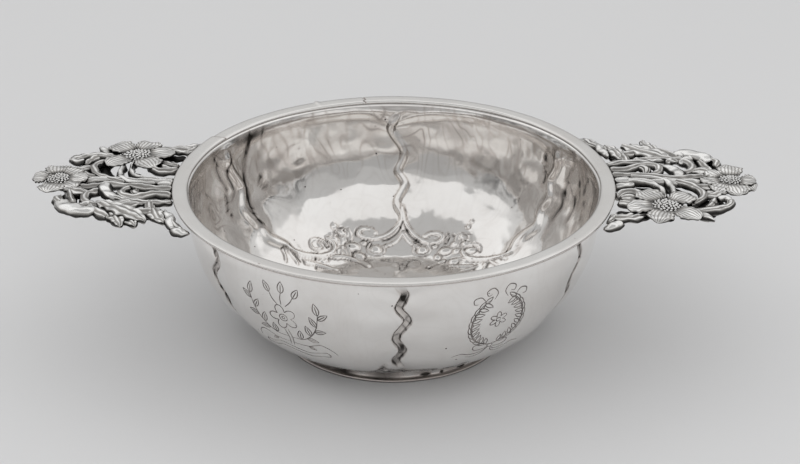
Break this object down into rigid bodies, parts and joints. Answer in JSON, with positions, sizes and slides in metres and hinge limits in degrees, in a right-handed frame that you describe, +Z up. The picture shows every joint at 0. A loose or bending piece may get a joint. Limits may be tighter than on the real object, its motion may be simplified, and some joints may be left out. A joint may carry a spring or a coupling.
{
  "type": "brandy bowl",
  "caption": "Round lobed silver bowl on a low foot ring, with a flat everted rim and two openwork cast flower handles lying level with the rim.",
  "frame": {"origin": "centre of the foot ring's underside", "axes": "+Z up, X from handle tip to handle tip, -Y towards the viewer of the picture"},
  "size_m": [0.23, 0.14, 0.0534],
  "materials": {
    "silver_sheet": "hammered sheet silver, polished, lightly scratched",
    "silver_cast": "cast silver, polished on the high spots and dark in the hollows"
  },
  "bodies": {
    "root": {"bowl_body": "silver_sheet", "rim_band": "silver_sheet", "foot_ring": "silver_sheet", "handle_casting_right": "silver_cast", "tip_flower_right": "silver_cast", "side_flower_right": "silver_cast", "handle_casting_left": "silver_cast", "tip_flower_left": "silver_cast", "side_flower_left": "silver_cast"}
  },
  "joints": []
}
